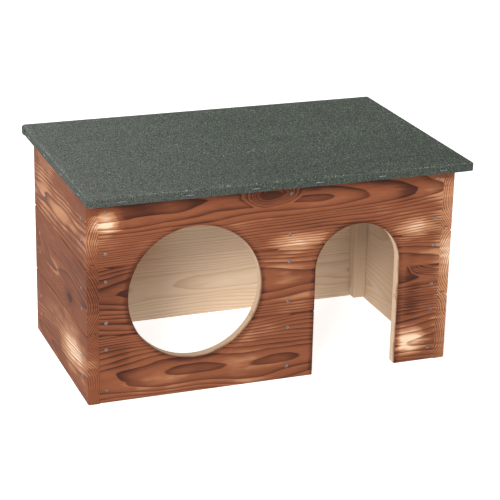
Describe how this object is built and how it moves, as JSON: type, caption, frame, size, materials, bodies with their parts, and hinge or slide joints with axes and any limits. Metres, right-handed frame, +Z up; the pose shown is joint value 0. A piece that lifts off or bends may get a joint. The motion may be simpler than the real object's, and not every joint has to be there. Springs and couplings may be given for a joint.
{
  "type": "rabbit hutch",
  "caption": "Open-bottomed timber house for a small pet, with a round hole and an arched door in its front and a flat felted roof that lifts on two hinges at the back.",
  "frame": {"origin": "middle of the footprint, on the ground that the walls stand on", "axes": "+Z up; +X along the length, to the right of someone facing the front; the front with its two openings faces -Y"},
  "size_m": [0.501, 0.325, 0.2803],
  "materials": {
    "scorched_pine": "red-brown scorched and oiled outside, bare inside",
    "bare_pine": "planed, unfinished",
    "roofing_felt": "dark green mineral-surfaced bitumen felt",
    "zinc_plated_steel": "zinc plated"
  },
  "bodies": {
    "house": {"front_board_bottom_left": "scorched_pine", "front_board_bottom_right": "scorched_pine", "front_board_middle_left": "scorched_pine", "front_board_middle_centre": "scorched_pine", "front_board_middle_right": "scorched_pine", "front_board_top": "scorched_pine", "back_board_bottom": "scorched_pine", "back_board_middle": "scorched_pine", "back_board_top": "scorched_pine", "left_board_bottom": "scorched_pine", "left_board_middle": "scorched_pine", "left_board_top": "scorched_pine", "right_board_bottom": "scorched_pine", "right_board_middle": "scorched_pine", "right_board_top": "scorched_pine", "corner_batten_front_left": "bare_pine", "corner_batten_front_right": "bare_pine", "corner_batten_back_left": "bare_pine", "corner_batten_back_right": "bare_pine", "centre_batten": "bare_pine", "front_nails": "zinc_plated_steel", "back_nails": "zinc_plated_steel", "left_nails": "zinc_plated_steel", "right_nails": "zinc_plated_steel", "left_hinge_wall_leaf": "zinc_plated_steel", "left_hinge_pin": "zinc_plated_steel", "left_hinge_wall_screws": "zinc_plated_steel", "right_hinge_wall_leaf": "zinc_plated_steel", "right_hinge_pin": "zinc_plated_steel", "right_hinge_wall_screws": "zinc_plated_steel"},
    "roof": {"roof_board_front": "bare_pine", "roof_board_middle": "bare_pine", "roof_board_back": "bare_pine", "roof_batten_left": "bare_pine", "roof_batten_right": "bare_pine", "roof_batten_screws": "zinc_plated_steel", "roofing_felt": "roofing_felt", "felt_staples": "zinc_plated_steel", "left_hinge_roof_leaf": "zinc_plated_steel", "left_hinge_roof_screws": "zinc_plated_steel", "right_hinge_roof_leaf": "zinc_plated_steel", "right_hinge_roof_screws": "zinc_plated_steel"}
  },
  "joints": [
    {"name": "roof_hinge", "type": "hinge", "parent": "house", "child": "roof", "pos_m": [0, 0.12975, 0.26555], "axis": [-1, 0, 0], "range_deg": [0, 95]}
  ]
}
